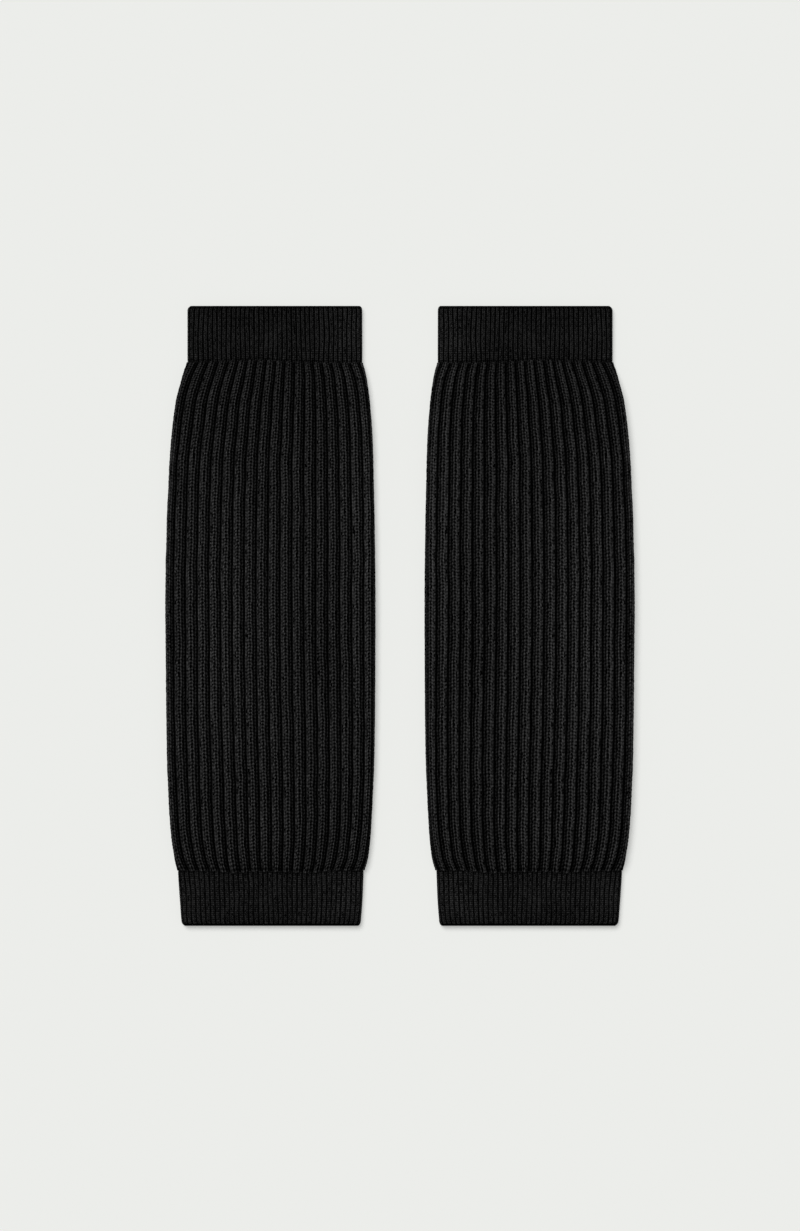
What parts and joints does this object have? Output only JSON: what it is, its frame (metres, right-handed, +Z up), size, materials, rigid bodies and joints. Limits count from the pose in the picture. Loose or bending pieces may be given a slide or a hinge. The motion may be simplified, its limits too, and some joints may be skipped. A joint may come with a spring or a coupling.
{
  "type": "pair of leg warmers",
  "caption": "Pair of black ribbed knit leg warmers lying flat side by side, each a tube with a bold rib leg and a finer ribbed cuff at both ends.",
  "frame": {"origin": "middle of the pair's footprint, on the surface that it lies on", "axes": "+Y up the legs towards the top cuffs, +X across the pair from the left leg warmer to the right one, +Z up from the surface"},
  "size_m": [0.3024, 0.4, 0.0082],
  "materials": {
    "leg_knit": "matt bold two-by-two rib knit in black yarn",
    "cuff_knit": "matt fine rib knit in black yarn"
  },
  "bodies": {
    "root": {"left_top_cuff": "cuff_knit", "left_leg": "leg_knit", "left_bottom_cuff": "cuff_knit", "right_top_cuff": "cuff_knit", "right_leg": "leg_knit", "right_bottom_cuff": "cuff_knit"}
  },
  "joints": []
}
